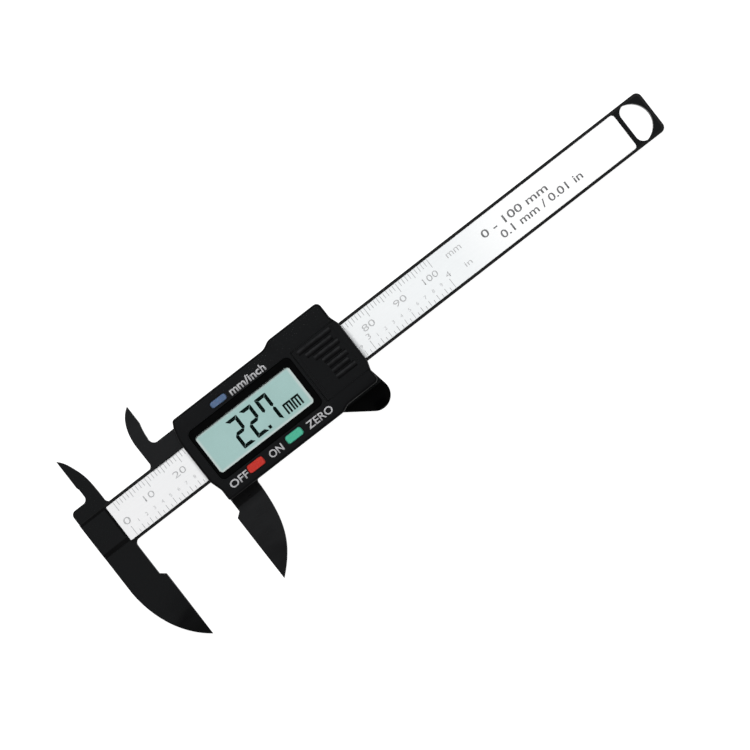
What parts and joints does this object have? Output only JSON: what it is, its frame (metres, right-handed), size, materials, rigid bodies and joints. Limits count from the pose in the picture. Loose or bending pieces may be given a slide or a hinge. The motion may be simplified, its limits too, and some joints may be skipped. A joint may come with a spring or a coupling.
{
  "type": "digital caliper",
  "caption": "Plastic digital caliper: beam with a printed scale and fixed jaws, sliding display housing with moving jaws, coloured buttons and a sliding battery lid.",
  "frame": {"origin": "under the middle of the caliper's overall box, in the plane of the back cover that it lies on", "axes": "+X along the beam towards its far end, +Y across the beam towards the inside jaws, +Z out of the display"},
  "size_m": [0.1784, 0.0584, 0.0144],
  "materials": {
    "black_plastic": "fine moulded grain",
    "circuit_board": "solder mask",
    "scale_label": "satin film with a printed scale",
    "clear_window": "clear acrylic",
    "display_glass": "grey-green display",
    "white_plastic": "plain",
    "zebra_rubber": "striped elastomer",
    "chip_resin": "cured resin",
    "ceramic_parts": "ceramic with tinned ends",
    "cell_steel": "nickel-plated",
    "contact_brass": "spring brass",
    "screw_steel": "zinc-plated",
    "blue_button": "soft silicone",
    "red_button": "soft silicone",
    "green_button": "soft silicone",
    "carbon_rubber": "conductive"
  },
  "bodies": {
    "beam": {"beam": "black_plastic", "scale_board": "circuit_board", "scale_label": "scale_label"},
    "slider": {"slider_frame": "black_plastic", "back_cover": "black_plastic", "front_cover": "black_plastic", "display_window": "clear_window", "display_panel": "display_glass", "display_holder": "white_plastic", "zebra_strip": "zebra_rubber", "circuit_board": "circuit_board", "chip_blob": "chip_resin", "surface_components": "ceramic_parts", "battery_cell": "cell_steel", "negative_contact": "contact_brass", "positive_contact": "contact_brass", "gib_spring": "contact_brass", "case_screws": "screw_steel", "board_screws": "screw_steel"},
    "battery_lid": {"battery_lid": "black_plastic"},
    "button_mm_inch": {"button_mm_inch": "blue_button", "contact_pill_mm_inch": "carbon_rubber"},
    "button_off_on": {"button_off_on": "red_button", "contact_pill_off_on": "carbon_rubber"},
    "button_zero": {"button_zero": "green_button", "contact_pill_zero": "carbon_rubber"}
  },
  "joints": [
    {"name": "slider_travel", "type": "slide", "parent": "beam", "child": "slider", "axis": [1, 0, 0], "range_m": [-0.0227, 0.0793]},
    {"name": "battery_lid_slide", "type": "slide", "parent": "slider", "child": "battery_lid", "axis": [1, 0, 0], "range_m": [0, 0.015]},
    {"name": "button_mm_inch_press", "type": "slide", "parent": "slider", "child": "button_mm_inch", "axis": [0, 0, -1], "range_m": [0, 0.0005], "stiffness_N_per_m": 1500, "springref_m": -0.0002},
    {"name": "button_off_on_press", "type": "slide", "parent": "slider", "child": "button_off_on", "axis": [0, 0, -1], "range_m": [0, 0.0005], "stiffness_N_per_m": 1500, "springref_m": -0.0002},
    {"name": "button_zero_press", "type": "slide", "parent": "slider", "child": "button_zero", "axis": [0, 0, -1], "range_m": [0, 0.0005], "stiffness_N_per_m": 1500, "springref_m": -0.0002}
  ]
}
